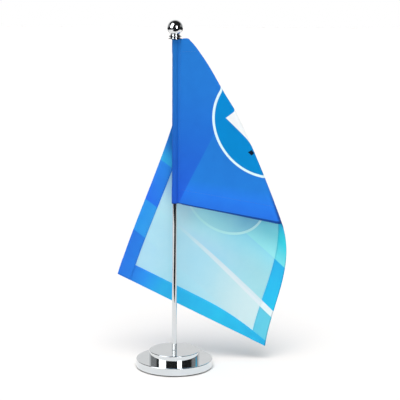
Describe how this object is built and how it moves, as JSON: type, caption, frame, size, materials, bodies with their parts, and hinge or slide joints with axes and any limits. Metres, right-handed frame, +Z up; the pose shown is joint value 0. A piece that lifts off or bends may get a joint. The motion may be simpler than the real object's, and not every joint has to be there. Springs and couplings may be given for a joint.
{
  "type": "desk flag stand",
  "caption": "Small desk flag on a polished pole with a ball finial and a two-step round base; the flag hangs folded over once and swivels round the pole.",
  "frame": {"origin": "centre of the pad's flat underside", "axes": "+Z up the pole to the finial, +X the way the front layer of the flag flies, -Y the side the flag is read from"},
  "size_m": [0.153, 0.071, 0.3218],
  "materials": {
    "pad": "matt closed-cell foam pad",
    "base_chrome": "polished chrome plate",
    "pole_chrome": "polished, drawn along its length",
    "finial_chrome": "mirror polished chrome plate",
    "hardware_steel": "zinc-plated steel",
    "flag_cloth": "thin woven polyester, printed blue on the face, paler on the reverse"
  },
  "bodies": {
    "stand": {"base_pad": "pad", "lower_disc": "base_chrome", "upper_disc": "base_chrome", "plain_washer": "hardware_steel", "spring_washer": "hardware_steel", "pole_screw": "hardware_steel", "pole": "pole_chrome"},
    "flag": {"flag_sleeve": "flag_cloth", "flag_panel": "flag_cloth"},
    "collar": {"finial_collar": "finial_chrome"},
    "finial": {"finial_ball": "finial_chrome", "finial_stud": "hardware_steel"}
  },
  "joints": [
    {"name": "flag_swivel", "type": "hinge", "parent": "stand", "child": "flag", "pos_m": [0, 0, 0.2296], "axis": [0, 0, 1], "continuous": true},
    {"name": "finial_rise", "type": "slide", "parent": "stand", "child": "collar", "axis": [0, 0, 1], "range_m": [0, 0.007]},
    {"name": "finial_turn", "type": "hinge", "parent": "collar", "child": "finial", "pos_m": [0, 0, 0.30885], "axis": [0, 0, 1], "range_deg": [0, 5040]}
  ],
  "couplings": [
    {"joint": "finial_rise", "follows": "finial_turn", "m_per_rad": 0.000079577}
  ]
}
